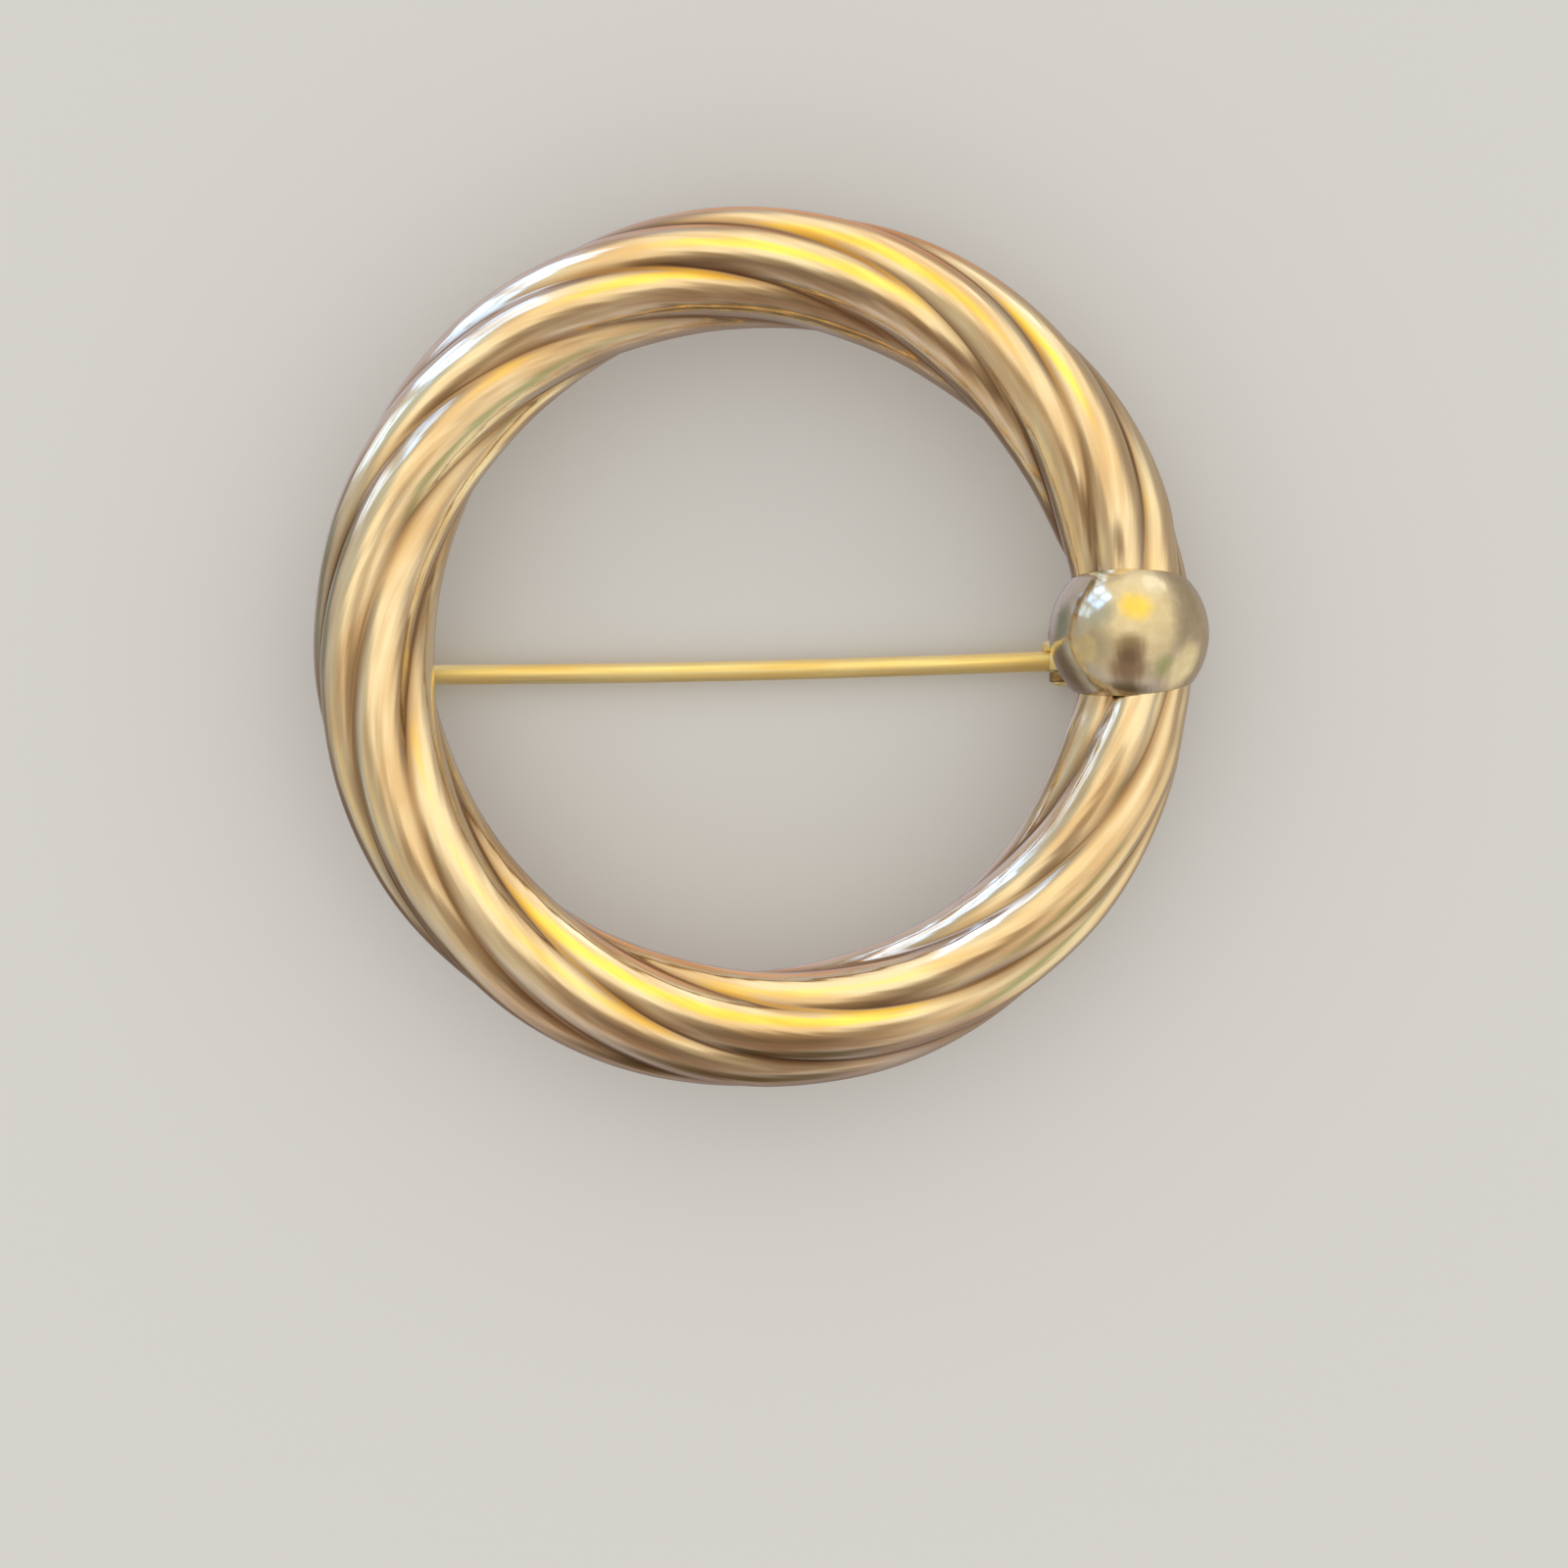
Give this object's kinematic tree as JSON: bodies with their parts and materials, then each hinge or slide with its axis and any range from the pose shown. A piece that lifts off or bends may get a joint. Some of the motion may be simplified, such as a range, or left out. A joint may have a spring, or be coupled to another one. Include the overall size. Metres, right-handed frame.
{
  "type": "circle pin brooch",
  "caption": "Round brooch: a ring of twisted fluted tube joined in a hollow ball, with a hinged pin stem and a catch behind it.",
  "frame": {"origin": "under the middle of the part, at the level of the table that its back findings rest on", "axes": "+X from the ring's centre towards the ball, along the pin stem; +Z out of the face"},
  "size_m": [0.0354, 0.0349, 0.008],
  "materials": {
    "gold_tube": "polished",
    "gold_ball": "polished",
    "gold_wire": "satin"
  },
  "bodies": {
    "brooch": {"twisted_ring_with_catch": "gold_tube", "ball_with_hinge": "gold_ball", "hinge_rivet": "gold_wire"},
    "pin": {"pin_stem": "gold_wire"}
  },
  "joints": [
    {"name": "pin_hinge", "type": "hinge", "parent": "brooch", "child": "pin", "pos_m": [0.0122, -0.00066, 0.0008], "axis": [0, -1, 0], "range_deg": [0, 100]}
  ]
}
